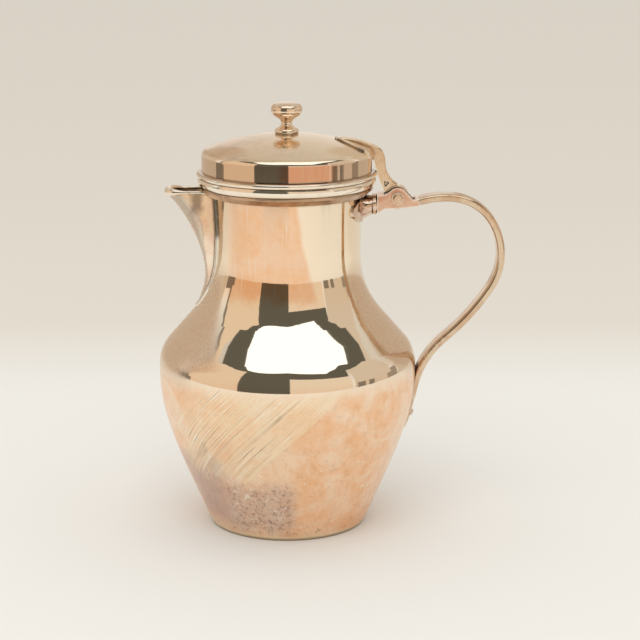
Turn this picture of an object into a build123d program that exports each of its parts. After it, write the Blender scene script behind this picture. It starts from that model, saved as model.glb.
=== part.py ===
from build123d import *
import os
from math import atan2, cos, degrees, hypot, radians, sin, tan

# A chocolate pot in plated metal: a spun body with an open beak, a strap handle and a hinged lid.
# Millimetres. The origin is the middle of the foot, +Z is up, the beak points along -X,
# and the handle and the hinge lie along +X. Radii are measured from the pot's upright axis.

# Body: one spun wall, drawn as straight stretches whose corners are blended.
# Each blend is named by how far along the wall it reaches from its corner.
body_wall = 1.0
foot_radius = 31.0
bow_share = 0.648
bow_height = 30.0
belly_radius = 50.9
belly_bottom = 51.2
belly_top = 70.4
neck_radius = 29.1
neck_bottom = 95.4
rim_height = 136.0
bow_reach = 8.7
belly_reach = 11.25
shoulder_reach = 5.25
neck_reach = 12.75
base_thickness = 1.2

# Rim moulding: the ring soldered round the top of the neck
moulding_height = 3.2
moulding_foot_stand = 2.2
moulding_top_stand = 4.7
moulding_face = 0.9
moulding_round = 0.4

# Beak: level sections from its mouth down, each (drop, stand out from the wall, half width, squareness)
beak_drop = 2.0
beak_wall = 0.9
beak_sections = [
    (0.0, 18.5, 6.6, 4.2),
    (5.5, 13.8, 7.8, 3.0),
    (12.5, 9.4, 9.0, 2.5),
    (21.0, 5.6, 9.2, 2.2),
    (29.0, 3.6, 7.6, 2.0),
    (36.0, 3.7, 5.8, 2.0),
    (42.0, 2.34, 3.8, 2.0),
    (46.0, 0.45, 1.9, 2.0),
]
beak_root_depth = 9.0
beak_mouth_overcut = 6.0
lip_wire_radius = 0.65
seam_bead_width = 1.6
seam_bead_stand = 0.9

# Hinge: a pin through two ears of the lug and the knuckle of the lid's bracket.
# The lug's arm is drawn as steps out from the pin and up from it.
pin_stand = 9.4
pin_drop = 4.7
pin_radius = 1.5
pin_running_gap = 0.06
pin_head_radius = 1.9
pin_head_height = 0.7
pin_head_round = 0.6
washer_radius = 2.5
washer_thickness = 0.5
ear_radius = 4.0
ear_thickness = 2.2
knuckle_radius = 4.6
knuckle_width = 5.0
knuckle_side_gap = 0.15
knuckle_floor_gap = 0.6
slot_floor_drop = 1.2
slot_reach = 7.0
arm_top_rise = 1.0
arm_bottom_drop = 6.1
arm_waist_step = 5.0
arm_waist_rise = 1.3
arm_waist_drop = 4.2
lug_notch_step = 6.2
lug_notch_drop = 1.0

# Neck socket: a flared arm on an oval pad, ending in a collar that the lug is soldered to
pad_half_width = 15.6
pad_half_height = 5.4
pad_drop = 8.7
pad_thickness = 0.9
socket_root_sink = 5.1
socket_root_half_width = 13.0
socket_root_half_height = 5.3
socket_waist_stand = 1.7
socket_waist_rise = 0.1
socket_waist_half_width = 5.6
socket_waist_half_height = 4.5
collar_stand = 4.5
collar_rise = 1.0
collar_length = 1.6
collar_half_width = 5.4
collar_half_height = 4.2
collar_round = 0.7

# Handle: a strap of level width bent in five arcs, each (radius, turn), from the lug to the belly.
# The bend is turned and scaled as a whole so that it ends at its landing beside the belly.
handle_width = 8.0
handle_thickness = 3.0
handle_edge_round = 1.1
handle_start_step = 8.3
handle_start_drop = 1.7
handle_start_slope = 17.0
handle_arcs = [(36.0, -22.0), (20.0, -52.0), (25.0, -66.0), (90.0, -17.0), (36.0, 36.0)]
handle_run_in = 6.0
handle_landing_sink = 1.58
handle_landing_height = 50.16
tail_thickness = 1.0
tail_top = 57.0
tail_middle = 46.0
tail_middle_half_width = 2.9
tail_tip = 36.0
tail_round = 0.5
rivet_height = 43.8
rivet_shank_radius = 0.8
rivet_head_radius = 1.3
rivet_head_height = 0.8
rivet_head_round = 0.5

# Lid: a domed cover on a moulded flange, with a bezel that drops into the neck
seat_gap = 0.2
flange_bead_stand = 1.0
flange_groove_stand = 0.6
flange_crest_stand = 1.5
flange_bead_height = 1.75
flange_groove_height = 3.5
flange_crest_height = 4.5
flange_lip_height = 5.5
flange_height = 5.7
flange_sheet = 0.8
cover_inset = 0.5
cover_corner_rise = 7.8
cover_corner_round = 3.0
cover_rise = 14.5
cover_wall = 0.8
bezel_clearance = 0.9
bezel_wall = 0.8
bezel_drop = 2.6

# Lid bracket: a leaf soldered to the cover, and a spine that bends down over its edge to the knuckle.
# The spine's back and belly are drawn as steps out from the cover's side and down from its top.
leaf_tip_inset = 14.4
leaf_middle_inset = 10.7
leaf_middle_half_width = 6.2
leaf_end_inset = 3.5
leaf_half_width = 11.0
leaf_thickness = 0.7
leaf_skirt = 1.8
spine_width = 4.0
spine_round = 0.6
spine_back = [(-11.1, 1.7), (-5.3, 2.5), (0.6, 4.6), (4.0, 7.0), (5.0, 9.9), (5.5, 14.1), (6.7, 16.8)]
spine_belly = [(2.9, 18.8), (1.5, 14.1), (0.6, 10.6), (-2.0, 9.2)]
spine_tip_drop = 1.7
spine_foot_height = 5.2
heel_offset = -5.2
heel_height = 2.1
scoop_depth = 0.8
scoop_corners = [(-5.6, 6.6), (-4.9, 3.6), (-2.8, 6.0)]
scoop_round = 0.5

# Finial: a turned knob with a threaded stud, held by a washer and a nut inside the cover.
# Its widths are given at their rises above the cover.
finial_rise = 12.0
finial_head_radius = 6.1
finial_head_rise = 9.2
finial_neck_radius = 3.1
finial_neck_rise = 5.6
finial_waist_radius = 2.2
finial_waist_rise = 3.9
finial_bulb_radius = 4.7
finial_bulb_rise = 0.6
finial_foot_radius = 4.3
finial_foot_sink = 0.4
stud_radius = 1.5
stud_length = 4.6
stud_clearance = 0.1
nut_width = 5.5
nut_thickness = 2.4
finial_washer_radius = 4.0
finial_washer_thickness = 0.6
finial_washer_sink = 0.1

# Worked out from the sizes above
bow_radius = foot_radius + bow_share * (belly_radius - foot_radius)
shoulder_slope = (belly_radius - neck_radius) / (neck_bottom - belly_top)
moulding_bottom = rim_height - moulding_height
moulding_radius = neck_radius + moulding_top_stand
flange_bead_radius = moulding_radius + flange_bead_stand
flange_groove_radius = moulding_radius + flange_groove_stand
flange_crest_radius = moulding_radius + flange_crest_stand
cover_radius = moulding_radius - cover_inset
bezel_radius = neck_radius - body_wall - bezel_clearance
leaf_tip_offset = cover_radius - leaf_tip_inset
leaf_middle_offset = cover_radius - leaf_middle_inset
leaf_end_offset = cover_radius - leaf_end_inset
pin_offset = moulding_radius + pin_stand
socket_root_offset = neck_radius - socket_root_sink
socket_waist_offset = neck_radius + socket_waist_stand
collar_offset = neck_radius + collar_stand
beak_mouth_height = rim_height - beak_drop
seat_height = rim_height + seat_gap
cover_base = seat_height + flange_height
cover_corner = cover_base + cover_corner_rise
cover_apex = cover_base + cover_rise
finial_top = cover_apex + finial_rise
pin_height = rim_height - pin_drop
pad_height = rim_height - pad_drop
collar_height = pad_height + collar_rise
slot_half_width = knuckle_width / 2 + knuckle_side_gap
slot_radius = knuckle_radius + knuckle_floor_gap
lug_half_width = slot_half_width + ear_thickness
ear_corner = ear_radius * cos(radians(45))
pin_half_length = lug_half_width + washer_thickness
arm_start = collar_offset + collar_length
handle_start = (pin_offset + handle_start_step, pin_height - handle_start_drop)


def handle_bend(slope, scale):
    """The handle's middle line: its arcs in turn, then a straight run into the belly."""
    direction = (cos(radians(slope)), sin(radians(slope)))
    with BuildLine(Plane.XZ) as bend:
        arc = JernArc(handle_start, direction, scale * handle_arcs[0][0], handle_arcs[0][1])
        for radius, turn in handle_arcs[1:]:
            arc = JernArc(arc @ 1, arc % 1, scale * radius, turn)
        Line(arc @ 1, arc @ 1 + scale * handle_run_in * (arc % 1))
    return bend.line


def blend_corner(sketch, x, y, radius):
    """Round the sketch's corner that lies nearest to a point."""
    fillet(sketch.vertices().sort_by_distance((x, y))[0], radius=radius)


def blend_wall(sketch, before, corner, after, reach):
    """Round a corner of the wall so that the blend starts and ends that far from it."""
    first = atan2(corner[1] - before[1], corner[0] - before[0])
    second = atan2(after[1] - corner[1], after[0] - corner[0])
    blend_corner(sketch, *corner, reach / tan(abs(second - first) / 2))


def body_outline(stand=0.0):
    """The filled half section of the pot's outside, optionally standing proud of it."""
    corners = [
        (foot_radius + stand, 0),
        (bow_radius + stand, bow_height),
        (belly_radius + stand, belly_bottom),
        (belly_radius + stand, belly_top),
        (neck_radius + stand, neck_bottom),
        (neck_radius + stand, rim_height),
    ]
    with BuildSketch(Plane.XZ) as outline:
        with BuildLine():
            Polyline((0, 0), *corners, (0, rim_height), close=True)
        make_face()
        for i, reach in enumerate((bow_reach, belly_reach, shoulder_reach, neck_reach)):
            blend_wall(outline, *corners[i : i + 3], reach)
    return outline.sketch


def lid_outline(stand=0.0):
    """The filled half section of the lid's outside, from its seat to the top of the dome."""
    crown = cover_apex + stand
    shoulder = (cover_radius + stand, cover_corner + stand)
    with BuildSketch(Plane.XZ) as outline:
        with BuildLine():
            Polyline((0, crown), (0, seat_height), (moulding_radius, seat_height))
            flange_edge(cover_radius + stand)
            Line((cover_radius + stand, cover_base), shoulder)
            ThreePointArc(shoulder, dome_point(shoulder, crown), (0, crown))
        make_face()
        blend_corner(outline, *shoulder, cover_corner_round)
    return outline.sketch


def dome_point(shoulder, crown):
    """A point half way out on the dome, whose arc is level at the crown."""
    radius, height = shoulder
    rise = crown - height
    dome_radius = (radius**2 + rise**2) / (2 * rise)
    half = radius / 2
    return (half, crown - dome_radius + (dome_radius**2 - half**2) ** 0.5)


def flange_edge(inner_radius):
    """The flange's outer edge, two rolled beads with a groove between them, and its top."""
    foot = (moulding_radius, seat_height)
    groove = (flange_groove_radius, seat_height + flange_groove_height)
    lip = (flange_groove_radius, seat_height + flange_lip_height)
    ThreePointArc(foot, (flange_bead_radius, seat_height + flange_bead_height), groove)
    ThreePointArc(groove, (flange_crest_radius, seat_height + flange_crest_height), lip)
    Line(lip, (inner_radius, cover_base))


def beak_section(height, stand, half_width, squareness, inset):
    """One level section of the beak, running back into the pot so that it always meets the wall."""
    nose = neck_radius + shoulder_slope * max(neck_bottom - height, 0) + stand - inset
    width = half_width - inset
    points = []
    for turn in (90, 68, 45, 22, 0, -22, -45, -68, -90):
        along = abs(cos(radians(turn))) ** (2 / squareness)
        across = abs(sin(radians(turn))) ** (2 / squareness)
        side = 1 if turn >= 0 else -1
        points.append((-neck_radius - (nose - neck_radius) * along, side * width * across))
    back = beak_root_depth - neck_radius
    with BuildSketch(Plane.XY.offset(height)) as section:
        with BuildLine():
            Spline(*points, tangents=[(-1, 0), (1, 0)])
            Line(points[-1], (back, -width))
            Line((back, -width), (back, width))
            Line((back, width), points[0])
        make_face()
    return section.sketch


def beak_form(inset, sections, overcut=0.0):
    """The solid inside the beak's surface, moved in by the inset and carried up past the mouth."""
    with BuildPart() as form:
        for drop, stand, half_width, squareness in sections:
            add(beak_section(beak_mouth_height - drop, stand, half_width, squareness, inset))
        loft()
        if overcut:
            extrude(beak_section(beak_mouth_height, *sections[0][1:], inset), amount=overcut)
    return form.part


def oval(offset, height, half_width, half_height):
    """An upright oval across the X direction."""
    with BuildSketch(Plane(origin=(offset, 0, height), x_dir=(0, 1, 0), z_dir=(1, 0, 0))) as shape:
        Ellipse(half_width, half_height)
    return shape.sketch


# The handle's bend, fitted between the lug and its landing
drawn_bend = handle_bend(handle_start_slope, 1)
drawn_step = drawn_bend @ 1 - drawn_bend @ 0
landing_step = (
    belly_radius - handle_landing_sink - handle_start[0],
    handle_landing_height - handle_start[1],
)
bend_scale = hypot(*landing_step) / drawn_step.length
bend_turn = degrees(atan2(landing_step[1], landing_step[0]) - atan2(drawn_step.Z, drawn_step.X))
start_slope = handle_start_slope + bend_turn
handle_line = handle_bend(start_slope, bend_scale)
handle_lean = handle_thickness / 2 * sin(radians(start_slope))
handle_half_rise = handle_thickness / 2 * cos(radians(start_slope))

# Outside forms that the pieces are seated on
with BuildPart() as body_form:
    add(body_outline())
    revolve(axis=Axis.Z)

with BuildPart() as lid_form:
    add(lid_outline())
    revolve(axis=Axis.Z)

beak_outside = beak_form(0, beak_sections)
beak_inside = beak_form(beak_wall, beak_sections[:-1], beak_mouth_overcut)

# Body and its base
with BuildPart() as spun_wall:
    add(body_form)
    offset(
        amount=-body_wall,
        openings=[spun_wall.faces().sort_by(Axis.Z)[0], spun_wall.faces().sort_by(Axis.Z)[-1]],
    )

with BuildPart() as base_plate:
    add(body_form)
    split(bisect_by=Plane.XY.offset(base_thickness), keep=Keep.BOTTOM)
    add(spun_wall, mode=Mode.SUBTRACT)

with BuildPart() as beak_window:
    add(beak_inside)
    split(bisect_by=Plane.XY.offset(moulding_bottom), keep=Keep.BOTTOM)

# Rim moulding
with BuildPart() as rim_moulding:
    with BuildSketch(Plane.XZ) as moulding_section:
        with BuildLine():
            Polyline(
                (neck_radius, rim_height),
                (neck_radius, moulding_bottom),
                (neck_radius + moulding_foot_stand, moulding_bottom),
                (moulding_radius, rim_height - moulding_face),
                (moulding_radius, rim_height),
                close=True,
            )
        make_face()
        blend_corner(moulding_section, neck_radius + moulding_foot_stand, moulding_bottom, moulding_round)
        blend_corner(moulding_section, moulding_radius, rim_height - moulding_face, moulding_round)
    revolve(axis=Axis.Z)

# Beak, the wire along its mouth and the bead along its seam
with BuildPart() as lip_wire:
    mouth = beak_section(beak_mouth_height, *beak_sections[0][1:], beak_wall / 2)
    mouth_edges = mouth.edges().sort_by(Axis.X)[:-1]
    mouth_path = Wire(mouth_edges)
    with BuildSketch(Plane(origin=mouth_path @ 0, z_dir=mouth_path % 0)):
        Circle(lip_wire_radius)
    sweep(path=mouth_path)
    add(body_form, mode=Mode.SUBTRACT)
    add(rim_moulding, mode=Mode.SUBTRACT)

with BuildPart() as spout:
    add(beak_outside)
    add(beak_inside, mode=Mode.SUBTRACT)
    add(body_form, mode=Mode.SUBTRACT)
    add(rim_moulding, mode=Mode.SUBTRACT)
    add(lip_wire, mode=Mode.SUBTRACT)

with BuildPart() as beaded_form:
    add(body_outline(seam_bead_stand))
    revolve(axis=Axis.Z)

with BuildPart() as seam_bead:
    add(beak_form(-seam_bead_width, beak_sections))
    split(bisect_by=Plane.XY.offset(moulding_bottom), keep=Keep.BOTTOM)
    add(beaded_form, mode=Mode.INTERSECT)
    add(beak_outside, mode=Mode.SUBTRACT)
    add(body_form, mode=Mode.SUBTRACT)

# Neck socket: the oval pad, the flared arm and the collar
with BuildPart() as padded_form:
    add(body_outline(pad_thickness))
    revolve(axis=Axis.Z)

with BuildPart() as neck_socket:
    extrude(oval(neck_radius / 2, pad_height, pad_half_width, pad_half_height), amount=neck_radius)
    add(padded_form, mode=Mode.INTERSECT)
    add(oval(socket_root_offset, pad_height, socket_root_half_width, socket_root_half_height))
    add(
        oval(
            socket_waist_offset,
            pad_height + socket_waist_rise,
            socket_waist_half_width,
            socket_waist_half_height,
        )
    )
    collar = oval(collar_offset, collar_height, collar_half_width, collar_half_height)
    add(offset(collar, amount=-collar_round, mode=Mode.PRIVATE))
    loft()
    extrude(collar, amount=collar_length)
    fillet(neck_socket.edges().group_by(Axis.X)[-1], radius=collar_round)
    add(body_form, mode=Mode.SUBTRACT)
    add(rim_moulding, mode=Mode.SUBTRACT)

# Hinge lug: an arm with two ears, and between them the slot that the bracket's leg swings through
with BuildPart() as hinge_lug:
    with BuildSketch(Plane.XZ):
        with BuildLine():
            Polyline(
                (arm_start, pin_height - arm_bottom_drop),
                (arm_start, pin_height + arm_top_rise),
                (pin_offset - arm_waist_step, pin_height + arm_waist_rise),
                (pin_offset - ear_corner, pin_height + ear_corner),
                (pin_offset + ear_corner, pin_height + ear_corner),
                (pin_offset + lug_notch_step, pin_height - lug_notch_drop),
                (handle_start[0] - handle_lean, handle_start[1] + handle_half_rise),
                (handle_start[0] + handle_lean, handle_start[1] - handle_half_rise),
                (pin_offset, pin_height - ear_radius),
                (pin_offset - arm_waist_step, pin_height - arm_waist_drop),
                close=True,
            )
        make_face()
        with Locations((pin_offset, pin_height)):
            Circle(ear_radius)
    extrude(amount=lug_half_width, both=True)
    with BuildSketch(Plane.XZ):
        with Locations((pin_offset, pin_height)):
            Circle(slot_radius)
        with Locations((pin_offset, pin_height - slot_floor_drop)):
            Rectangle(slot_reach, 2 * ear_radius, align=(Align.MIN, Align.MIN))
    extrude(amount=slot_half_width, both=True, mode=Mode.SUBTRACT)
    with BuildSketch(Plane.XZ):
        with Locations((pin_offset, pin_height)):
            Circle(pin_radius)
    extrude(amount=lug_half_width, both=True, mode=Mode.SUBTRACT)

# Hinge pin, riveted over a washer at each end
with BuildPart() as hinge_washers:
    with BuildSketch(Plane.XZ.offset(lug_half_width)):
        with Locations((pin_offset, pin_height)):
            Circle(washer_radius)
            Circle(pin_radius, mode=Mode.SUBTRACT)
    extrude(amount=washer_thickness)
    mirror(about=Plane.XZ)

with BuildPart() as hinge_pin:
    with BuildSketch(Plane.XZ.offset(pin_half_length)):
        with Locations((pin_offset, pin_height)):
            Circle(pin_head_radius)
    extrude(amount=pin_head_height)
    fillet(hinge_pin.edges().group_by(Axis.Y)[0], radius=pin_head_round)
    mirror(about=Plane.XZ)
    with BuildSketch(Plane.XZ):
        with Locations((pin_offset, pin_height)):
            Circle(pin_radius)
    extrude(amount=pin_half_length, both=True)

# Handle: the bent strap, and the pointed tail that lies down the belly
with BuildPart() as tailed_form:
    add(body_outline(tail_thickness))
    revolve(axis=Axis.Z)

with BuildPart() as handle_tail:
    with BuildSketch(Plane.YZ.offset(foot_radius)) as tail_face:
        with BuildLine():
            Polyline(
                (-handle_width / 2, tail_top),
                (-tail_middle_half_width, tail_middle),
                (0, tail_tip),
                (tail_middle_half_width, tail_middle),
                (handle_width / 2, tail_top),
                close=True,
            )
        make_face()
        blend_corner(tail_face, 0, tail_tip, tail_round)
    extrude(amount=belly_radius)
    add(tailed_form, mode=Mode.INTERSECT)

rivet_slope = atan2(belly_radius - bow_radius, belly_bottom - bow_height)
rivet_seat = bow_radius + (rivet_height - bow_height) * tan(rivet_slope)
rivet_plane = Plane(
    origin=(rivet_seat, 0, rivet_height),
    x_dir=(0, 1, 0),
    z_dir=(cos(rivet_slope), 0, -sin(rivet_slope)),
)
rivet_axis = Axis(rivet_plane.origin, rivet_plane.z_dir)
with BuildPart() as handle_rivet:
    with BuildSketch(rivet_plane.offset(tail_thickness)):
        Circle(rivet_head_radius)
    extrude(amount=rivet_head_height)
    fillet(handle_rivet.edges().sort_by(rivet_axis)[-1], radius=rivet_head_round)
    with BuildSketch(rivet_plane.offset(-body_wall - rivet_head_height)):
        Circle(rivet_head_radius)
    extrude(amount=rivet_head_height)
    with BuildSketch(rivet_plane.offset(-body_wall)):
        Circle(rivet_shank_radius)
    extrude(amount=body_wall + tail_thickness)

with BuildPart() as handle:
    with BuildSketch(Plane(handle_line @ 0, x_dir=(0, 1, 0), z_dir=handle_line % 0)):
        RectangleRounded(handle_width, handle_thickness, handle_edge_round)
    sweep(path=handle_line)
    add(handle_tail)
    add(body_form, mode=Mode.SUBTRACT)
    add(handle_rivet, mode=Mode.SUBTRACT)

with BuildPart() as body_shell:
    add(spun_wall)
    add(beak_window, mode=Mode.SUBTRACT)
    add(handle_rivet, mode=Mode.SUBTRACT)

# Lid: the flange, the bezel inside it and the domed cover on top
with BuildPart() as lid_flange:
    with BuildSketch(Plane.XZ):
        with BuildLine():
            Line((bezel_radius, seat_height), (moulding_radius, seat_height))
            flange_edge(cover_radius)
            Polyline(
                (cover_radius, cover_base),
                (cover_radius - cover_wall, cover_base),
                (cover_radius - cover_wall, seat_height + flange_sheet),
                (bezel_radius, seat_height + flange_sheet),
                (bezel_radius, seat_height),
            )
        make_face()
    revolve(axis=Axis.Z)

with BuildPart() as lid_bezel:
    with BuildSketch(Plane.XY.offset(rim_height - bezel_drop)):
        Circle(bezel_radius)
        Circle(bezel_radius - bezel_wall, mode=Mode.SUBTRACT)
    extrude(amount=bezel_drop + seat_gap + flange_sheet)

with BuildPart() as lid_cover:
    add(lid_form)
    split(bisect_by=Plane.XY.offset(cover_base), keep=Keep.TOP)
    offset(amount=-cover_wall, openings=lid_cover.faces().sort_by(Axis.Z)[0])
    with BuildSketch(Plane.XY.offset(cover_base)):
        Circle(stud_radius + stud_clearance)
    extrude(amount=finial_top, mode=Mode.SUBTRACT)

# Lid bracket: the leaf and the spine on the cover, the leg, its heel and the knuckle
with BuildPart() as leafed_form:
    add(lid_outline(leaf_thickness))
    revolve(axis=Axis.Z)

with BuildPart() as bracket_leaf:
    with BuildSketch(Plane.XY.offset(cover_corner - leaf_skirt)):
        with BuildLine():
            side = Spline(
                (leaf_tip_offset, 0),
                (leaf_middle_offset, leaf_middle_half_width),
                (leaf_end_offset, leaf_half_width),
            )
            Polyline(
                side @ 1,
                (cover_radius + leaf_thickness, leaf_half_width),
                (cover_radius + leaf_thickness, 0),
                (leaf_tip_offset, 0),
            )
        make_face()
        mirror(about=Plane.XZ)
    extrude(amount=finial_top)
    add(leafed_form, mode=Mode.INTERSECT)

with BuildPart() as bracket_spine:
    with BuildSketch(Plane.XZ):
        with BuildLine():
            back = Spline(
                (leaf_tip_offset, cover_apex - spine_tip_drop),
                *[(cover_radius + out, cover_apex - down) for out, down in spine_back],
                (pin_offset, pin_height + spine_foot_height),
            )
            Polyline(
                back @ 1,
                (pin_offset, pin_height),
                (pin_offset + heel_offset, pin_height + heel_height),
                *[(cover_radius + out, cover_apex - down) for out, down in spine_belly],
                back @ 0,
            )
        make_face()
    extrude(amount=spine_width / 2, both=True)
    fillet(bracket_spine.faces().sort_by(Axis.Z)[-1].edges().filter_by(GeomType.BSPLINE), radius=spine_round)
    for side in (-1, 1):
        with BuildSketch(Plane.XZ.offset(side * spine_width / 2)) as scoop:
            with BuildLine():
                Polyline(*[(pin_offset + out, pin_height + up) for out, up in scoop_corners], close=True)
            make_face()
            fillet(scoop.vertices(), radius=scoop_round)
        extrude(amount=-side * scoop_depth, mode=Mode.SUBTRACT)

with BuildPart() as lid_bracket:
    add(bracket_spine)
    add(bracket_leaf)
    with BuildSketch(Plane.XZ):
        with Locations((pin_offset, pin_height)):
            Circle(knuckle_radius)
    extrude(amount=knuckle_width / 2, both=True)
    add(lid_form, mode=Mode.SUBTRACT)
    with BuildSketch(Plane.XZ):
        with Locations((pin_offset, pin_height)):
            Circle(pin_radius + pin_running_gap)
    extrude(amount=lug_half_width, both=True, mode=Mode.SUBTRACT)

# Finial: the turned knob with its stud, and the washer and nut that hold it from inside
with BuildPart() as finial:
    with BuildSketch(Plane.XZ):
        with BuildLine():
            head_side = (finial_head_radius, cover_apex + finial_head_rise)
            throat = (finial_neck_radius, cover_apex + finial_neck_rise)
            waist = (finial_waist_radius, cover_apex + finial_waist_rise)
            bulb = (finial_bulb_radius, cover_apex + finial_bulb_rise)
            Spline((0, finial_top), head_side, tangents=[(1, 0), (0, -1)])
            Spline(head_side, throat, waist, tangents=[(0, -1), (0, -1)])
            Spline(waist, bulb, tangents=[(0, -1), (0, -1)])
            Polyline(
                bulb,
                (finial_foot_radius, cover_apex),
                (finial_foot_radius, cover_apex - finial_foot_sink),
                (stud_radius, cover_apex - finial_foot_sink),
                (stud_radius, cover_apex - stud_length),
                (0, cover_apex - stud_length),
                (0, finial_top),
            )
        make_face()
    revolve(axis=Axis.Z)
    add(lid_cover, mode=Mode.SUBTRACT)

washer_seat = cover_apex - cover_wall - finial_washer_sink
with BuildPart() as finial_washer:
    with BuildSketch(Plane.XY.offset(washer_seat - finial_washer_thickness)):
        Circle(finial_washer_radius)
        Circle(stud_radius + stud_clearance, mode=Mode.SUBTRACT)
    extrude(amount=finial_washer_thickness)

with BuildPart() as finial_nut:
    with BuildSketch(Plane.XY.offset(washer_seat - finial_washer_thickness - nut_thickness)):
        RegularPolygon(nut_width / 2, 6, major_radius=False)
        Circle(stud_radius, mode=Mode.SUBTRACT)
    extrude(amount=nut_thickness)

pieces = {
    "body_shell": body_shell,
    "base_plate": base_plate,
    "rim_moulding": rim_moulding,
    "spout": spout,
    "spout_lip_wire": lip_wire,
    "spout_seam_bead": seam_bead,
    "neck_socket": neck_socket,
    "hinge_lug": hinge_lug,
    "hinge_pin": hinge_pin,
    "hinge_washers": hinge_washers,
    "handle": handle,
    "handle_rivet": handle_rivet,
    "lid_cover": lid_cover,
    "lid_flange": lid_flange,
    "lid_bezel": lid_bezel,
    "lid_bracket": lid_bracket,
    "finial": finial,
    "finial_washer": finial_washer,
    "finial_nut": finial_nut,
}
os.makedirs("parts", exist_ok=True)
for name, piece in pieces.items():
    piece.part.label = name
    export_step(piece.part, f"parts/{name}.step")
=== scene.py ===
import math

import bpy
import numpy as np
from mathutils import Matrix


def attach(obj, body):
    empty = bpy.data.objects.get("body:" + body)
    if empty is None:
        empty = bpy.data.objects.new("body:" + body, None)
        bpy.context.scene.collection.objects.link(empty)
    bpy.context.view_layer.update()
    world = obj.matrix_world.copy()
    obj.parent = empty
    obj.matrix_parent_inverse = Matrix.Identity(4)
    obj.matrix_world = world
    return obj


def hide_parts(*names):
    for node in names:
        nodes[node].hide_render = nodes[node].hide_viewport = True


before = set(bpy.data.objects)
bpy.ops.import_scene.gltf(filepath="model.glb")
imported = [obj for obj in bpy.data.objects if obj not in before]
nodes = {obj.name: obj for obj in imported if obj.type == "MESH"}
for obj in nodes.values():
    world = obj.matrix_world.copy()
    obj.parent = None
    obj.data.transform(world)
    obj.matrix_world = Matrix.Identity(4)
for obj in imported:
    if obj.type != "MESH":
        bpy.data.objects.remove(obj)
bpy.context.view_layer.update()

MM = 0.001

# ---- the camera: its place in metres, its angles in radians, its lens in mm ----

CAMERA_PLACE = (0.0, -0.75716, 0.2620)
CAMERA_DROP = 0.2339
CAMERA_TURN = 0.0171
LENS_LENGTH = 110.07
SENSOR_WIDTH = 36.0
NEAREST_SEEN = 0.01
FARTHEST_SEEN = 50.0

camera_data = bpy.data.cameras.new("camera")
camera_data.sensor_width = SENSOR_WIDTH
camera_data.lens = LENS_LENGTH
camera_data.clip_start = NEAREST_SEEN
camera_data.clip_end = FARTHEST_SEEN
camera = bpy.data.objects.new("camera", camera_data)
camera.location = CAMERA_PLACE
camera.rotation_euler = (math.pi / 2.0 - CAMERA_DROP, 0.0, -CAMERA_TURN)
bpy.context.scene.collection.objects.link(camera)
bpy.context.scene.camera = camera
bpy.context.scene.view_settings.view_transform = "Standard"


# ---- node trees: their maths written as expressions ----


class Signal:
    """One socket of a node tree. Sums, products and powers of signals add Math nodes."""

    def __init__(self, graph, socket):
        self.graph = graph
        self.socket = socket

    def __add__(self, other):
        return self.graph.maths("ADD", self, other)

    def __radd__(self, other):
        return self.graph.maths("ADD", other, self)

    def __sub__(self, other):
        return self.graph.maths("SUBTRACT", self, other)

    def __rsub__(self, other):
        return self.graph.maths("SUBTRACT", other, self)

    def __mul__(self, other):
        return self.graph.maths("MULTIPLY", self, other)

    def __rmul__(self, other):
        return self.graph.maths("MULTIPLY", other, self)

    def __truediv__(self, other):
        return self.graph.maths("DIVIDE", self, other)

    def __rtruediv__(self, other):
        return self.graph.maths("DIVIDE", other, self)

    def __pow__(self, other):
        return self.graph.maths("POWER", self, other)

    def __rpow__(self, other):
        return self.graph.maths("POWER", other, self)


class Graph:
    """A node tree, the one method that adds any node to it, and the steps that most patterns need."""

    def __init__(self, tree):
        self.tree = tree

    def node(self, kind, settings=None, sockets=None, out=0):
        made = self.tree.nodes.new(kind)
        for key, value in (settings or {}).items():
            if key == "stops":
                ramp = made.color_ramp
                while len(ramp.elements) < len(value):
                    ramp.elements.new(0.5)
                for element, (position, colour) in zip(ramp.elements, value):
                    element.position = position
                    element.color = (*colour, 1.0)
            else:
                setattr(made, key, value)
        for key, value in (sockets or {}).items():
            if isinstance(value, Signal):
                self.tree.links.new(value.socket, made.inputs[key])
            else:
                made.inputs[key].default_value = value
        return Signal(self, made.outputs[out])

    def end(self, kind, result):
        """Closes the tree: links its result to an output node of this kind."""
        leave = self.tree.nodes.new(kind)
        self.tree.links.new(result.socket, leave.inputs[0])

    def maths(self, operation, first, second=0.0):
        return self.node("ShaderNodeMath", {"operation": operation}, {0: first, 1: second})

    def step(self, value, start, end):
        """0 before start, 1 after end, smooth between. start may be the larger."""
        return self.node(
            "ShaderNodeMapRange",
            {"interpolation_type": "SMOOTHSTEP", "clamp": True},
            {"Value": value, "From Min": start, "From Max": end},
        )

    def between(self, value, low, high, soft):
        """1 from low to high, 0 outside, and smooth over twice soft at both ends."""
        return self.step(value, low - soft, low + soft) * self.step(value, high + soft, high - soft)

    def vector(self, x, y, z):
        return self.node("ShaderNodeCombineXYZ", sockets={0: x, 1: y, 2: z})

    def mix(self, share, first, second):
        """A colour that goes from first to second with share."""
        ends = [end if isinstance(end, Signal) else (*end, 1.0) for end in (first, second)]
        return self.node(
            "ShaderNodeMix",
            {"data_type": "RGBA"},
            {"Factor": share, 6: ends[0], 7: ends[1]},
            out=2,
        )


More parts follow.
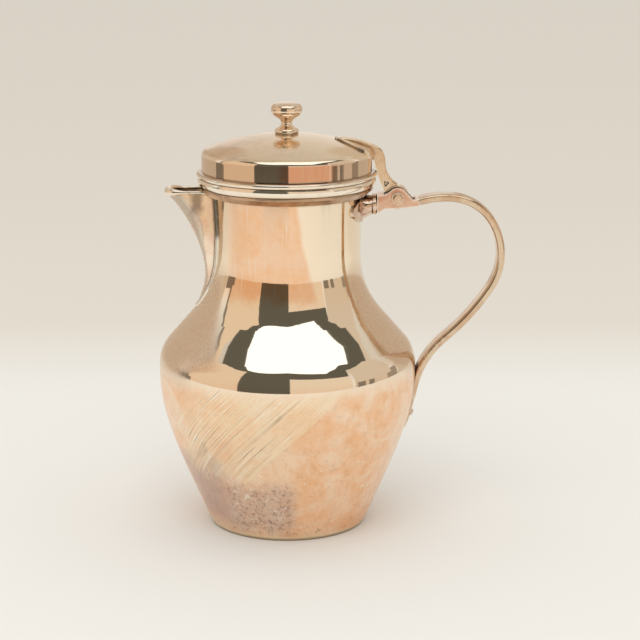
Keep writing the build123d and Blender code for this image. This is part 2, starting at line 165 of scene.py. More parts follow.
class Finish(Graph):
    """A material and its node tree, with the few patterns that worn plate is made of."""

    OCCLUSION_RAYS = 8
    CORNER_OPENNESS = (0.78, 0.36)
    EDGE_OPENNESS = (0.95, 0.60)
    EDGE_WEAR_AND_HIGHLIGHT_REACH = 0.6  # mm
    GRAIN_SCALE = 1500.0  # to the metre
    GRAIN_DEPTH = 0.02  # mm
    GRAIN_STRENGTH = 0.5
    HAIR_ASPECT = 0.022  # a mark's width to its length
    HAIR_SOFTNESS = 0.14
    SCORE_ASPECT = 0.012
    SCORE_CORE = 0.3  # the full middle of a scored line, as a share of its width

    def __init__(self, name):
        self.material = bpy.data.materials.new(name)
        self.material.use_nodes = True
        super().__init__(self.material.node_tree)
        self.tree.nodes.clear()
        self.place = self.node("ShaderNodeTexCoord", out="Object")

    def xyz(self):
        return [self.node("ShaderNodeSeparateXYZ", sockets={0: self.place}, out=i) for i in range(3)]

    def noise(self, scale, detail=3.0, rough=0.55, where=None, warp=0.0):
        return self.node(
            "ShaderNodeTexNoise",
            {"noise_dimensions": "3D"},
            {
                "Vector": where or self.place,
                "Scale": scale,
                "Detail": detail,
                "Roughness": rough,
                "Distortion": warp,
            },
        )

    def patches(self, scale, low, high, detail=3.0, rough=0.55, warp=0.0):
        """Cloudy patches: 0 where the noise is under low, 1 where it is over high."""
        return self.step(self.noise(scale, detail, rough, warp=warp), low, high)

    def wander(self, scale, reach, detail=3.0, rough=0.55, warp=0.0):
        """A cloudy number around 0 that frays the outline of a mark. reach is its whole range."""
        return (self.noise(scale, detail, rough, warp=warp) - 0.5) * reach

    def hairlines(self, along, across, fine=1.0, seed=0.0, share=0.5):
        """Thin marks that run with along. One unit of across is about one mark."""
        place = self.vector(across * fine, along * self.HAIR_ASPECT * fine, seed)
        level = self.noise(1.0, detail=2.0, rough=0.5, where=place)
        return self.step(level, share, share + self.HAIR_SOFTNESS)

    def scored_lines(self, along, across, pitch, width, seed):
        """Long thin lines that run with along, about a pitch apart and a little out of parallel."""
        place = self.vector(across / pitch, along * self.SCORE_ASPECT / pitch, seed)
        level = self.noise(1.0, detail=0.0, rough=0.5, where=place) - 0.5
        return self.step(self.maths("ABSOLUTE", level), width, width * self.SCORE_CORE)

    def corner_grime_and_shade(self, reach):
        """1 in corners and grooves narrower than reach in mm: an occlusion mask for grime and painted
        shade.
        """
        openness = self.node(
            "ShaderNodeAmbientOcclusion",
            {"samples": self.OCCLUSION_RAYS},
            {"Distance": reach * MM},
            out="AO",
        )
        return self.step(openness, *self.CORNER_OPENNESS)

    def edge(self):
        """1 on corners that stick out, which are worn bright and get a painted highlight."""
        openness = self.node(
            "ShaderNodeAmbientOcclusion",
            {"samples": self.OCCLUSION_RAYS, "inside": True, "only_local": True},
            {"Distance": self.EDGE_WEAR_AND_HIGHLIGHT_REACH * MM},
            out="AO",
        )
        return self.step(openness, *self.EDGE_OPENNESS)

    def bump(self, height, depth=1.0, strength=1.0, over=None):
        """A normal bent by height, which is worth depth in mm."""
        sockets = {"Height": height, "Distance": depth * MM, "Strength": strength}
        if over is not None:
            sockets["Normal"] = over
        return self.node("ShaderNodeBump", sockets=sockets)

    def grain(self, height, over=None):
        """A normal bent by fine grain and scratches."""
        return self.bump(height, self.GRAIN_DEPTH, self.GRAIN_STRENGTH, over)

    def metal(self, colour, roughness, normal):
        surface = self.node(
            "ShaderNodeBsdfPrincipled",
            sockets={"Base Color": colour, "Metallic": 1.0, "Roughness": roughness, "Normal": normal},
        )
        self.end("ShaderNodeOutputMaterial", surface)
        return self.material


# ---- the colours of worn plate ----

SILVER = (0.97, 0.87, 0.72)
LID_SILVER = (0.95, 0.83, 0.68)
NECK_STRAW = (0.97, 0.82, 0.63)
DOME_STRAW = (0.90, 0.72, 0.50)
STRAW = (0.93, 0.79, 0.54)
CREAM = (0.98, 0.93, 0.82)
WARM = (0.93, 0.74, 0.55)
ROSE = (0.88, 0.62, 0.47)
COPPER = (0.91, 0.54, 0.31)
BAND_COPPER = (0.80, 0.44, 0.28)
RUBBED_RED = (0.78, 0.38, 0.22)
DULL = (0.78, 0.60, 0.46)
BAND_BROWN = (0.74, 0.57, 0.42)
DOME_PINK = (0.70, 0.49, 0.35)
DOME_BROWN = (0.56, 0.42, 0.29)
BEAD_BROWN = (0.60, 0.47, 0.38)
MAUVE = (0.56, 0.42, 0.37)
TARNISH = (0.42, 0.29, 0.20)
SCORED = (0.42, 0.29, 0.19)
PIT = (0.33, 0.21, 0.16)
# the colour of a painted dark reflection on the beak
DARK_REFLECTION = (0.20, 0.16, 0.12)
# the dark of grime and painted shade in corners
GRIME_AND_SHADE = (0.13, 0.095, 0.07)


# ---- the body: mirror bright round the belly, satin neck and foot, one broad scrubbed band ----
# Heights are in mm above the table. Azimuths are in degrees, 0 in front and growing to the right.
# A zone is (low, high, softness). A fade is (where it is nothing, where it is full).

ARC_RADIUS = 47.0  # mm, at which marks round the belly are measured
NECK_BLUSH_FOOT = (93.0, 99.0)
NECK_BLUSH_LEFT = (-58.0, -40.0)
NECK_BLUSH_RIGHT = (14.0, 9.0)
NECK_BLUSH_MIDDLE = 120.0
PLAIN_NECK = (88.0, 100.0)
LOW_BELLY = (70.0, 57.0)
SHOULDERS = (64.0, 104.0, 6.0)
SHOULDER_MIDDLE = 74.0
TONGUE = (60.0, 70.0, 2.0)
LEFT_SHOULDER = (-30.0, -40.0)
RIGHT_SHOULDER = (44.0, 56.0)
MAUVE_ACROSS, MAUVE_UP = (-76.0, -34.0, 9.0), (5.0, 34.0, 6.0)
RED_ACROSS, RED_UP = (-42.0, -28.0, 5.0), (37.0, 47.0, 4.0)
PITS_ACROSS, PITS_UP = (-36.0, 4.0, 4.0), (4.0, 25.0, 4.0)
CREAM_SPECKS = (52.0, 36.0)
FOOT_PITS = (3.0, 7.5, 1.2)
FOOT_EDGE = (2.4, 1.4)
BAND_LOWER_SIDE = (42.0, 45.0)
BAND_UPPER_SIDE = (108.0, 76.0)
BAND_TOP = (64.0, 61.0)
BAND_FOOT = (22.0, 32.0)
BAND_LEFT = (-76.0, -60.0)
BAND_RIGHT = (42.0, 34.0)
BELLY_LINE_MIDDLE = -3.0
BELLY_LINE_RISE = 0.08  # mm higher for each degree from its middle
SATIN_NECK = (110.0, 119.0)
SATIN_BELLY = (62.0, 55.0)
LOWER_FLARE = (80.0, 98.0)
UPPER_FLARE = (92.0, 114.0)
FLARE_PRESS = 1.7  # mm
BELLY_EDGE = (59.0, 71.0)
BELLY_PRESS = 0.34  # mm


class BodyFinish(Finish):
    """Where the marks of the body lie. Each method returns a mask, or marks on a colour."""

    def __init__(self, name):
        super().__init__(name)
        x, y, z = self.xyz()
        self.height = z / MM
        self.turn = self.maths("ARCTAN2", x, y * -1.0)
        self.azimuth = self.turn * math.degrees(1.0)
        self.arc = self.turn * ARC_RADIUS
        self.drift = self.wander(30.0, 18.0, warp=0.4)
        self.ragged = self.wander(120.0, 9.0, detail=4.0, rough=0.65)
        self.mottle = self.patches(60.0, 0.36, 0.62, detail=5.0, rough=0.65, warp=0.9)
        self.patchy = self.patches(210.0, 0.36, 0.66, detail=5.0, rough=0.7, warp=0.5)

    def patch(self, across, up, drift):
        """A ragged patch over a zone of azimuths and a zone of heights."""
        inside = self.between(self.azimuth + drift, *across)
        return inside * self.between(self.height + self.ragged, *up)

    def neck_blush(self):
        """A patch on the front of the neck, whose right edge leans."""
        lean = (self.height - NECK_BLUSH_MIDDLE) * 0.4
        right = self.step(self.azimuth + self.drift * 0.5 + lean, *NECK_BLUSH_RIGHT)
        left = self.step(self.azimuth + self.drift, *NECK_BLUSH_LEFT)
        return right * left * self.step(self.height + self.ragged, *NECK_BLUSH_FOOT)

    def dull_shoulders(self):
        """Both sides of the shoulder, and its right side alone. A tongue runs in at their foot."""
        tongue = self.between(self.height, *TONGUE)
        lean = (self.height - SHOULDER_MIDDLE) * 0.95
        left = self.step(self.azimuth + self.drift * 0.2 + lean + tongue * 22.0, *LEFT_SHOULDER)
        right = self.step(self.azimuth + self.drift * 0.25 - tongue * 14.0, *RIGHT_SHOULDER)
        return (left + right) * self.between(self.height, *SHOULDERS), right

    def belly_line(self):
        """The height, less what the mirror zone's lower edge rises to both sides."""
        return self.height - self.maths("ABSOLUTE", self.azimuth - BELLY_LINE_MIDDLE) * BELLY_LINE_RISE

    def scrubbed_band(self, rise, belly_line):
        """A band that climbs at 45 degrees to the right, under the belly's line."""
        band = self.step(rise + self.ragged * 0.5, *BAND_LOWER_SIDE)
        band = band * self.step(rise + self.drift, *BAND_UPPER_SIDE)
        band = band * self.step(belly_line + self.ragged * 0.2, *BAND_TOP)
        band = band * self.step(self.height + self.ragged, *BAND_FOOT)
        return band * self.step(self.azimuth, *BAND_LEFT) * self.step(self.azimuth, *BAND_RIGHT)

    def copper_shows(self, neck, low):
        """Silver with the copper under it: a patch on the neck, and all of the lower belly."""
        plain = self.mix(self.step(self.height, *PLAIN_NECK) * 0.9, SILVER, NECK_STRAW)
        colour = self.mix(neck * (0.58 + self.mottle * 0.25 + self.patchy * 0.17), plain, COPPER)
        colour = self.mix(neck * (1.0 - self.mottle) * 0.3, colour, ROSE)
        return self.mix(low * (0.42 + self.mottle * 0.40 + self.patchy * 0.18), colour, COPPER)

    def low_marks(self, colour, mauve, pits, pit_spots):
        """The mauve patch low on the left, a red rub above it, dark pits, a few cream specks."""
        colour = self.mix(mauve * (0.7 + self.patchy * 0.3), colour, MAUVE)
        red_rub = self.patch(RED_ACROSS, RED_UP, self.drift * 0.6)
        colour = self.mix(red_rub * 0.6, colour, RUBBED_RED)
        pale_spots = self.patches(400.0, 0.54, 0.64, detail=3.0, rough=0.7, warp=0.8)
        colour = self.mix(pits * 0.50, colour, MAUVE)
        colour = self.mix(pits * pale_spots * 0.45, colour, CREAM)
        colour = self.mix(pits * pit_spots * 0.70, colour, PIT)
        specks = self.patches(230.0, 0.70, 0.75, detail=2.0, rough=0.5, warp=1.5)
        colour = self.mix(specks * self.step(self.height, *CREAM_SPECKS) * 0.7, colour, CREAM)
        foot_pits = self.patches(640.0, 0.58, 0.66, detail=3.0, rough=0.7)
        return self.mix(foot_pits * self.between(self.height, *FOOT_PITS) * 0.6, colour, PIT)


def body_finish(name):
    plate = BodyFinish(name)
    height, arc, drift = plate.height, plate.arc, plate.drift
    neck = plate.neck_blush()
    low = plate.step(height + drift * 0.6, *LOW_BELLY)
    side, right_side = plate.dull_shoulders()
    mauve = plate.patch(MAUVE_ACROSS, MAUVE_UP, drift)
    pits = plate.patch(PITS_ACROSS, PITS_UP, drift * 0.3)
    pit_spots = plate.patches(520.0, 0.50, 0.62, detail=4.0, rough=0.75, warp=0.4)

    colour = plate.copper_shows(neck, low)
    speck = plate.patches(1300.0, 0.44, 0.60, detail=2.0, rough=0.6)
    colour = plate.mix(side * (0.66 + speck * 0.34), colour, DULL)
    fleck = plate.patches(420.0, 0.50, 0.70, detail=3.0, rough=0.6)
    colour = plate.mix(low * fleck * 0.16, colour, TARNISH)
    colour = plate.low_marks(colour, mauve, pits, pit_spots)

    # the scrubbed band: broad strokes, then fine pale and dark lines where it isn't worn away
    rise = height - arc
    along = height + arc
    belly_line = plate.belly_line()
    band = plate.scrubbed_band(rise, belly_line)
    unworn = plate.patches(70.0, 0.40, 0.60, detail=3.0, rough=0.6)
    scrub = band * (0.35 + unworn * 0.65)
    strokes = plate.hairlines(along, rise, fine=0.8, seed=0.0, share=0.48)
    pale_lines = plate.scored_lines(along, rise, pitch=1.5, width=0.035, seed=7.0)
    dark_lines = plate.scored_lines(along, rise, pitch=2.2, width=0.022, seed=11.0)
    colour = plate.mix(band * (0.30 + strokes * 0.25), colour, STRAW)
    colour = plate.mix(scrub * pale_lines * 0.80, colour, CREAM)
    colour = plate.mix(scrub * dark_lines * 0.75, colour, SCORED)

    # the foot's bright edge, grime and painted shade in corners, and pale marks down the neck
    foot_edge = plate.step(height + plate.ragged * 0.1, *FOOT_EDGE)
    colour = plate.mix(foot_edge * 0.6, colour, STRAW)
    colour = plate.mix(plate.corner_grime_and_shade(2.2) * 0.7, colour, GRIME_AND_SHADE)
    neck_marks = plate.hairlines(height + arc * 0.2, arc, fine=1.6, seed=4.0, share=0.60)
    colour = plate.mix(neck * neck_marks * 0.6, colour, CREAM)

    # satin above and below, mirror between, and finer grain on both shoulders
    satin_top = plate.step(height + plate.ragged * 0.4, *SATIN_NECK) * 0.5
    satin_low = plate.step(belly_line + drift * 0.15, *SATIN_BELLY)
    rough = 0.045 + satin_top * 0.06 + satin_low * 0.22 + side * (0.22 - right_side * 0.15) + scrub * 0.04
    rough = rough + mauve * 0.10 + pits * pit_spots * 0.10
    rough = rough + plate.hairlines(height, arc, fine=2.4, seed=3.0, share=0.58) * 0.03
    satin = (satin_top * 0.6 + satin_low + side) * 0.4
    normal = plate.grain(plate.noise(plate.GRAIN_SCALE, detail=2.0, rough=0.6) * (0.06 + satin))
    normal = plate.grain(scrub * (pale_lines - dark_lines + strokes * 0.4), over=normal)

    # the neck's flare and the belly's top edge turn a little softer than a true curve
    flare = plate.step(height, *LOWER_FLARE) + plate.step(height, *UPPER_FLARE)
    flare = flare * (0.58 + plate.maths("COSINE", plate.turn * 2.0) * 0.42)
    belly_edge = plate.step(height, *BELLY_EDGE)
    normal = plate.bump(flare * FLARE_PRESS - belly_edge * BELLY_PRESS, over=normal)
    return plate.metal(colour, rough, normal)


# ---- the lid: a polished band and beads, a satin dome with brown in its grain ----

DOME = (148.9, 150.1)
LID_BAND = (142.2, 148.2, 0.4)
LID_BEADS = (142.0, 141.2)
UPPER_GROOVE = (141.3, 142.3, 0.3)
LOWER_GROOVE = (139.4, 139.9, 0.15)
COPPER_SIDE = (-6.0, 32.0, 2.5)
PINK_SIDE = (6.0, -22.0)  # mm along X
BAND_DEGREE = 0.58  # mm of the band's arc to a degree
LID_GRAIN_SCALE = 1600.0  # to the metre


def lid_finish(name):
    plate = Finish(name)
    x, y, z = plate.xyz()
    height = z / MM
    azimuth = plate.maths("ARCTAN2", x, y * -1.0) * math.degrees(1.0)
    cloud = plate.patches(60.0, 0.38, 0.66, detail=4.0, rough=0.6, warp=0.6)
    rub = plate.patches(90.0, 0.5, 0.7, detail=3.0, rough=0.6, warp=0.5)

    # the band: brown, and copper at the front
    band = plate.between(height, *LID_BAND)
    colour = plate.mix(cloud * 0.5, LID_SILVER, WARM)
    colour = plate.mix(band * 0.75, colour, BAND_BROWN)
    copper_side = plate.between(azimuth + (rub - 0.5) * 2.0, *COPPER_SIDE)
    strokes = plate.hairlines(height, azimuth * BAND_DEGREE, fine=1.6, seed=5.0, share=0.48)
    colour = plate.mix(band * copper_side * (0.95 - strokes * 0.3), colour, BAND_COPPER)

    # the dome: straw, pinker towards the beak, with brown in its grain
    dome = plate.step(height, *DOME)
    pink = plate.step(x / MM + cloud * 9.0, *PINK_SIDE)
    fleck = plate.patches(700.0, 0.44, 0.72, detail=3.0, rough=0.65)
    brown = plate.patches(170.0, 0.46, 0.66, detail=5.0, rough=0.7, warp=0.5)
    colour = plate.mix(dome * (0.55 + fleck * 0.15), colour, DOME_STRAW)
    colour = plate.mix(dome * pink * 0.6, colour, DOME_PINK)
    colour = plate.mix(dome * brown * (0.10 + pink * 0.35), colour, DOME_BROWN)

    # the flange's two beads, with tarnish and painted shade in the grooves beside them
    beads = plate.step(height, *LID_BEADS)
    colour = plate.mix(beads * 0.5, colour, CREAM)
    colour = plate.mix(beads * rub * 0.25, colour, BEAD_BROWN)
    grooves = plate.between(height, *UPPER_GROOVE) + plate.between(height, *LOWER_GROOVE)
    # darker in the grooves: tarnish and painted shade
    colour = plate.mix(plate.step(grooves, 0.0, 1.0) * 0.6, colour, TARNISH)
    # grime and painted shade in corners
    colour = plate.mix(plate.corner_grime_and_shade(2.0) * 0.85, colour, GRIME_AND_SHADE)

    hairs = plate.hairlines(x / MM, y / MM, fine=3.0, seed=2.0, share=0.56)
    rough = 0.055 + dome * 0.075 + beads * 0.04 + hairs * 0.03 + dome * fleck * 0.05
    normal = plate.grain(plate.noise(LID_GRAIN_SCALE, detail=2.0, rough=0.6) * 0.05 + hairs * 0.15)
    return plate.metal(colour, rough, normal)


# ---- all other pieces ----


def worn_plate(
    name,
    base=SILVER,
    blush=WARM,
    blush_share=0.5,
    roughness=0.13,
    tarnish=0.3,
    grime_and_shade_share=0.8,
    corner_reach=1.6,
    edge_wear_and_highlight=0.0,
    uneven=0.0,
    crowned=None,
    painted_dark_reflection=None,
):
    """Rubbed silver plate: a blush of warm metal, cloudy tarnish, and grime with painted shade in corners
    that are narrower than corner_reach in mm. The edge share lightens the edges that stick out, with wear
    and a painted highlight, and uneven is the height in mm of a filed, wavy surface. crowned bulges the
    piece along X: a place and a share of the squared distance from it, in mm. The dark spot is a painted
    dark reflection between two places along X and above a height, in mm."""
    plate = Finish(name)
    x, y, z = plate.xyz()
    cloud = plate.patches(110.0, 0.40, 0.66, detail=4.0, rough=0.6, warp=0.6)
    spots = plate.patches(380.0, 0.58, 0.76, detail=4.0, rough=0.65)
    colour = plate.mix(cloud * blush_share, base, blush)
    colour = plate.mix(spots * tarnish, colour, TARNISH)
    # edges that stick out lighten towards cream: wear and a painted highlight
    if edge_wear_and_highlight:
        colour = plate.mix(plate.edge() * edge_wear_and_highlight, colour, CREAM)
    # a dark spot near the top of the beak: a painted dark reflection
    if painted_dark_reflection:
        start, end, height = painted_dark_reflection
        ragged = plate.wander(260.0, 3.0, detail=3.0, rough=0.6)
        patch = plate.between(x / MM + ragged, start, end, 1.2)
        patch = patch * plate.step(z / MM + ragged, height - 3.0, height + 2.0)
        colour = plate.mix(patch * 0.7, colour, DARK_REFLECTION)
    # grime and painted shade in corners narrower than corner_reach
    corner = plate.corner_grime_and_shade(corner_reach)
    colour = plate.mix(corner * grime_and_shade_share, colour, GRIME_AND_SHADE)
    hairs = plate.hairlines(x / MM, (y + z * 0.3) / MM, fine=3.0, seed=1.0, share=0.56)
    rough = roughness + cloud * 0.05 + spots * 0.10 + hairs * 0.025 + corner * 0.25
    normal = plate.grain(hairs * 0.15 + plate.noise(plate.GRAIN_SCALE, detail=2.0, rough=0.5) * 0.12)
    if uneven:
        normal = plate.bump(plate.noise(330.0, detail=1.0, rough=0.5, warp=0.4), uneven, over=normal)
    if crowned:
        crown, share = crowned
        away = x / MM - crown
        normal = plate.bump(away * away * -share, over=normal)
    return plate.metal(colour, rough, normal)


PLATES = {
    "plate_base": dict(blush=COPPER, roughness=0.26),
    # the rim moulding's dark brown base and blush are painted shade under the flange, with tarnish
    "plate_rim": dict(
        base=(0.60, 0.41, 0.27), blush=(0.42, 0.27, 0.17), blush_share=0.8,
        roughness=0.20, tarnish=0.6, grime_and_shade_share=0.95, corner_reach=2.0,
    ),
    # the beak's dark spot near its top is a painted dark reflection
    "plate_beak": dict(
        base=(0.97, 0.83, 0.66), blush=(0.93, 0.66, 0.52), blush_share=0.8,
        roughness=0.24, crowned=(-8.0, 0.011), painted_dark_reflection=(-37.0, -33.0, 127.0),
    ),
    "plate_wire": dict(
        base=(0.92, 0.80, 0.66), blush=(0.82, 0.62, 0.48), blush_share=0.5,
        roughness=0.12, tarnish=0.4, grime_and_shade_share=0.9, corner_reach=1.2, edge_wear_and_highlight=0.5,
    ),
    "plate_seam": dict(
        base=(0.46, 0.37, 0.28), blush=(0.34, 0.26, 0.19), blush_share=0.7,
        roughness=0.16, tarnish=0.5, grime_and_shade_share=0.8, corner_reach=1.2, edge_wear_and_highlight=0.95,
    ),
    "plate_socket": dict(
        base=(0.80, 0.62, 0.48), blush=(0.60, 0.38, 0.28), blush_share=0.8,
        roughness=0.09, tarnish=0.6, grime_and_shade_share=0.9, corner_reach=2.4, edge_wear_and_highlight=0.5, uneven=0.14,
    ),
    "plate_lug": dict(
        base=(0.76, 0.51, 0.37), blush=(0.68, 0.33, 0.21), blush_share=0.85,
        roughness=0.15, tarnish=0.5, grime_and_shade_share=0.9, corner_reach=2.0, edge_wear_and_highlight=0.8, uneven=0.04,
    ),
    "plate_pin": dict(
        base=(0.78, 0.58, 0.41), blush=(0.62, 0.42, 0.28), blush_share=0.8,
        roughness=0.14, tarnish=0.6, grime_and_shade_share=0.98, corner_reach=2.2, edge_wear_and_highlight=0.15, uneven=0.04,
    ),
    "plate_bracket": dict(
        base=(0.84, 0.64, 0.43), blush=(0.66, 0.44, 0.28), blush_share=0.8,
        roughness=0.17, tarnish=0.55, grime_and_shade_share=0.9, corner_reach=2.2, edge_wear_and_highlight=0.9, uneven=0.02,
    ),
    "plate_handle": dict(
        base=(0.76, 0.60, 0.43), blush=(0.64, 0.41, 0.26), blush_share=0.75,
        roughness=0.15, tarnish=0.6, edge_wear_and_highlight=0.5,
    ),
    "plate_inside": dict(base=(0.90, 0.76, 0.60), roughness=0.24),
    "plate_knob": dict(
        base=(0.95, 0.81, 0.64), blush=(0.78, 0.57, 0.41), blush_share=0.8,
        roughness=0.09, tarnish=0.45, grime_and_shade_share=0.3, corner_reach=1.2, edge_wear_and_highlight=0.4,
    ),
}
FINISHES = {name: worn_plate(name, **look) for name, look in PLATES.items()}
FINISHES["plate_body"] = body_finish("plate_body")
FINISHES["plate_lid"] = lid_finish("plate_lid")

FINISHED_NODES = {
    "plate_body": ["body_shell"],
    "plate_base": ["base_plate"],
    "plate_rim": ["rim_moulding"],
    "plate_beak": ["spout"],
    "plate_seam": ["spout_seam_bead"],
    "plate_socket": ["neck_socket"],
    "plate_lug": ["hinge_lug"],
    "plate_pin": ["hinge_pin", "hinge_washers"],
    "plate_bracket": ["lid_bracket"],
    "plate_handle": ["handle", "handle_rivet"],
    "plate_lid": ["lid_cover", "lid_flange"],
    "plate_inside": ["lid_bezel", "finial_washer", "finial_nut"],
    "plate_knob": ["finial"],
}
for finish, members in FINISHED_NODES.items():
    for name in members:
        for material_slot in nodes[name].material_slots:
            material_slot.material = FINISHES[finish]


# ---- the rolled lip of the beak ----

LIP_SIZES = {
    "Wire Radius": 0.00065,
    "Nose Radius": 0.00145,
    "Mouth Root": -0.0291,
    "Mouth Reach": 0.01805,
    "Mouth Half Width": 0.00615,
    "Mouth Height": 0.1340,
}
MOUTH_SWEEP = math.radians(180.8)
MOUTH_SQUARENESS = 4.2  # the superellipse's exponent
SWELL_START = 0.58  # of the mouth's reach
SWELL_END = 0.94
ROUTE_POINTS = 1601
LIP_RINGS = 220
RING_SIDES = 24


def rolled_lip_tree():
    """A round wire along the beak's mouth, a superellipse in plan, that thickens towards its nose."""
    tree = bpy.data.node_groups.new("rolled_lip", "GeometryNodeTree")
    for size in LIP_SIZES:
        tree.interface.new_socket(size, in_out="INPUT", socket_type="NodeSocketFloat")
    tree.interface.new_socket("Geometry", in_out="OUTPUT", socket_type="NodeSocketGeometry")
    graph = Graph(tree)
    entry = tree.nodes.new("NodeGroupInput")
    wire, nose, root, reach, half_width, level = [Signal(graph, entry.outputs[size]) for size in LIP_SIZES]

    def rounded(part):
        """A cosine or sine raised to the superellipse's power, with its sign kept."""
        return graph.maths("SIGN", part) * graph.maths("ABSOLUTE", part) ** (2.0 / MOUTH_SQUARENESS)

    share = graph.node("GeometryNodeInputIndex") / (ROUTE_POINTS - 1.0)
    angle = (share - 0.5) * MOUTH_SWEEP
    x = root - reach * rounded(graph.maths("COSINE", angle))
    y = half_width * rounded(graph.maths("SINE", angle))
    swell = (nose - wire) * graph.step(x, root - reach * SWELL_START, root - reach * SWELL_END)
    place = graph.vector(x + swell, y, level)
    curve = graph.node("GeometryNodeMeshLine", sockets={"Count": ROUTE_POINTS})
    curve = graph.node("GeometryNodeMeshToCurve", sockets={0: curve})
    curve = graph.node("GeometryNodeSetPosition", sockets={"Geometry": curve, "Position": place})
    curve = graph.node("GeometryNodeSetCurveRadius", sockets={"Curve": curve, "Radius": wire + swell})
    curve = graph.node("GeometryNodeResampleCurve", sockets={"Curve": curve, "Count": LIP_RINGS})
    ring = graph.node("GeometryNodeCurvePrimitiveCircle", sockets={"Resolution": RING_SIDES, "Radius": 1.0})
    radius = graph.node("GeometryNodeInputRadius")
    tube = graph.node(
        "GeometryNodeCurveToMesh",
        sockets={"Curve": curve, "Profile Curve": ring, "Scale": radius, "Fill Caps": True},
    )
    tube = graph.node("GeometryNodeRealizeInstances", sockets={0: tube})
    paint = {"Geometry": tube, "Material": FINISHES["plate_wire"]}
    graph.end("NodeGroupOutput", graph.node("GeometryNodeSetMaterial", sockets=paint))
    return tree


def grown(name, tree, sizes):
    """A plain mesh object made by a geometry tree from its named sizes."""
    made = bpy.data.objects.new(name, bpy.data.meshes.new(name))
    bpy.context.scene.collection.objects.link(made)
    modifier = made.modifiers.new("growth", "NODES")
    modifier.node_group = tree
    for item in tree.interface.items_tree:
        if item.in_out == "INPUT":
            modifier[item.identifier] = sizes[item.name]
    depsgraph = bpy.context.evaluated_depsgraph_get()
    plain = bpy.data.meshes.new_from_object(made.evaluated_get(depsgraph), depsgraph=depsgraph)
    made.modifiers.clear()
    made.data = plain
    plain.shade_smooth()
    return made


rolled_lip = grown("rolled_lip", rolled_lip_tree(), LIP_SIZES)
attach(rolled_lip, "pot")
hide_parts("spout_lip_wire")


# ---- the floor: metres ----

FLOOR_NEAR = (0.86, 0.84, 0.79)
FLOOR_FAR = (0.77, 0.715, 0.625)
FLOOR_FADE = (0.17, 0.36)
FLOOR_REACH = 9.0


def mesh_object(name, points, faces, material):
    data = bpy.data.meshes.new(name)
    data.from_pydata(points, [], faces)
    data.materials.append(material)
    made = bpy.data.objects.new(name, data)
    bpy.context.scene.collection.objects.link(made)
    return made


def floor_finish():
    paint = Finish("floor_paint")
    away = paint.xyz()[1]
    colour = paint.mix(paint.step(away, *FLOOR_FADE), FLOOR_NEAR, FLOOR_FAR)
    surface = paint.node("ShaderNodeBsdfPrincipled", sockets={"Base Color": colour, "Roughness": 0.85})
    paint.end("ShaderNodeOutputMaterial", surface)
    return paint.material


floor_corners = [(x * FLOOR_REACH, y * FLOOR_REACH, 0.0) for x, y in ((-1, -1), (1, -1), (1, 1), (-1, 1))]
mesh_object("floor", floor_corners, [(0, 1, 2, 3)], floor_finish())


# ---- the room round the pot, as curved panels that only reflections see ----
# A panel's stations are (azimuth from the front, lower elevation, upper elevation) in degrees, seen
# from the middle of the pot. Distances are in metres, and what is nearer hides what is farther.

POT_MIDDLE = 0.09
PANEL_FOOT = 0.001
FLOOR_LINE = -16
STRIP_FOOT = -12
WALL, RING, ROOM, CURTAIN, STRIP, SOFTBOX = 0.88, 0.86, 0.84, 0.83, 0.82, 0.80
SOFTBOX_GLOW = 1.35
SOFTBOX_WHITE = (0.96, 0.99, 1.0)
DARK = (0.118, 0.108, 0.085)
STRIP_BROWN = (0.24, 0.20, 0.16)
CURTAIN_RED = (0.36, 0.17, 0.13)
BACK_TAN = (0.62, 0.52, 0.41)


def card(name, stations, distance, colour, strength=1.0):
    """A panel that follows its stations, cut off at the floor."""
    points, faces = [], []
    azimuths = np.arange(stations[0][0], stations[-1][0] + 0.01, 1.0)
    lows, highs = [
        np.interp(azimuths, [station[0] for station in stations], [station[side] for station in stations])
        for side in (1, 2)
    ]
    for azimuth, low, high in zip(np.radians(azimuths), lows, highs):
        for elevation in (math.radians(low), math.radians(high)):
            height = POT_MIDDLE + distance * math.sin(elevation)
            reach = distance * math.cos(elevation)
            points.append((reach * math.sin(azimuth), -reach * math.cos(azimuth), max(height, PANEL_FOOT)))
    for i in range(len(azimuths) - 1):
        faces.append((2 * i, 2 * i + 2, 2 * i + 3, 2 * i + 1))
    panel = Finish(name)
    glow = panel.node("ShaderNodeEmission", sockets={"Color": (*colour, 1.0), "Strength": strength})
    panel.end("ShaderNodeOutputMaterial", glow)
    made = mesh_object(name, points, faces, panel.material)
    made.visible_camera = False
    made.visible_diffuse = False
    made.visible_shadow = False
    made.visible_transmission = False
    made.visible_volume_scatter = False


def wall(name, left, right, left_top, right_top, colour):
    card(name, [(left, FLOOR_LINE, left_top), (right, FLOOR_LINE, right_top)], WALL, colour)


def strip(name, left, right, left_top, right_top, colour=STRIP_BROWN, distance=STRIP):
    card(name, [(left, STRIP_FOOT, left_top), (right, STRIP_FOOT, right_top)], distance, colour)


card("dark_room", [(-43, FLOOR_LINE, 50), (2, FLOOR_LINE, 50)], ROOM, DARK)
card("warm_curtain", [(-4, 2, 14), (3, 6, 12)], CURTAIN, CURTAIN_RED)
card(
    "dark_ring",
    [(-88, 49, 54), (-78, 46, 60), (-60, 45, 62), (-43, 40, 62), (2, 29, 62),
     (3, 28, 62), (57, 21, 62), (60, 36, 60), (78, 40, 56), (102, 42, 52)],
    RING, DARK,
)
card(
    "softbox",
    [(-66, 59, 64), (-58, 56, 70), (-45, 47, 80), (-29, 43, 84), (0, 47, 86),
     (39, 37, 84), (44, 42, 80), (60, 49, 76), (75, 50, 70), (92, 50, 56)],
    SOFTBOX, SOFTBOX_WHITE, SOFTBOX_GLOW,
)
wall("left_panel", -95, -43, 46, 46, (0.78, 0.61, 0.45))
wall("near_right_panel", 2, 57, 28, 21, (0.80, 0.66, 0.52))
wall("far_right_panel", 60, 102, 40, 44, (0.66, 0.55, 0.44))
wall("left_wall", -168, -109, 40, 40, BACK_TAN)
wall("right_wall", 111, 168, 40, 40, BACK_TAN)
strip("left_strip", -108, -92, 3, 4)
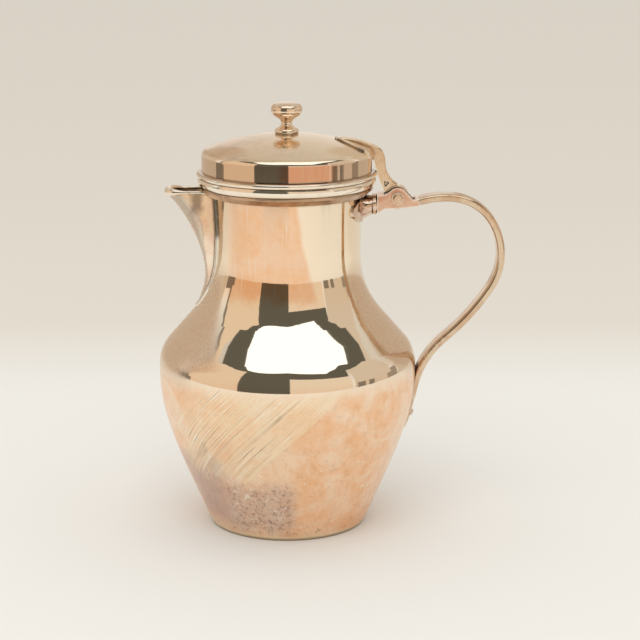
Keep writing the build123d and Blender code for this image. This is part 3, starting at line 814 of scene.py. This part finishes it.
strip("left_edge", -98, -95, 44, 44, distance=CURTAIN)
strip("right_strip", 62, 70, 6, 7)
strip("thin_strip", 74, 80, 7, 7)
strip("far_strip", 96, 110, 9, 9, (0.34, 0.28, 0.22))


# ---- the world and the lamp ----

PLAIN_LIGHT = (0.90, 0.895, 0.885)
SKY_STOPS = [(0.0, (0.90, 0.84, 0.77)), (0.85, (0.60, 0.55, 0.49))]
LAMP_PLACE = (-0.15, -0.75, 1.15)
LAMP_TILT = math.radians(34.0)
LAMP_TURN = math.radians(-10.0)
LAMP_SIZE = (0.9, 0.7)
LAMP_POWER = 3.5
LAMP_WHITE = (1.0, 0.99, 0.97)


def studio_world():
    """Plain light, and a sky that is pale at the table's level and duller overhead where it is seen,
    mirrored or seen through."""
    world = bpy.data.worlds.new("studio")
    world.use_nodes = True
    graph = Graph(world.node_tree)
    graph.tree.nodes.clear()
    direction = graph.node("ShaderNodeTexCoord", out="Generated")
    level = graph.node("ShaderNodeSeparateXYZ", sockets={0: direction}, out="Z")
    sky = graph.node("ShaderNodeValToRGB", {"stops": SKY_STOPS}, {"Fac": level}, out="Color")
    seen = graph.node("ShaderNodeLightPath", out="Is Camera Ray")
    for ray in ("Is Glossy Ray", "Is Transmission Ray"):
        seen = graph.maths("MAXIMUM", seen, graph.node("ShaderNodeLightPath", out=ray))
    colour = graph.mix(seen, PLAIN_LIGHT, sky)
    background = graph.node("ShaderNodeBackground", sockets={"Color": colour, "Strength": 1.0})
    graph.end("ShaderNodeOutputWorld", background)
    return world


bpy.context.scene.world = studio_world()

lamp_data = bpy.data.lights.new("soft_lamp", "AREA")
lamp_data.shape = "RECTANGLE"
lamp_data.size, lamp_data.size_y = LAMP_SIZE
lamp_data.energy = LAMP_POWER
lamp_data.color = LAMP_WHITE
lamp = bpy.data.objects.new("soft_lamp", lamp_data)
lamp.location = LAMP_PLACE
lamp.rotation_euler = (LAMP_TILT, 0.0, LAMP_TURN)
lamp.visible_glossy = False
bpy.context.scene.collection.objects.link(lamp)
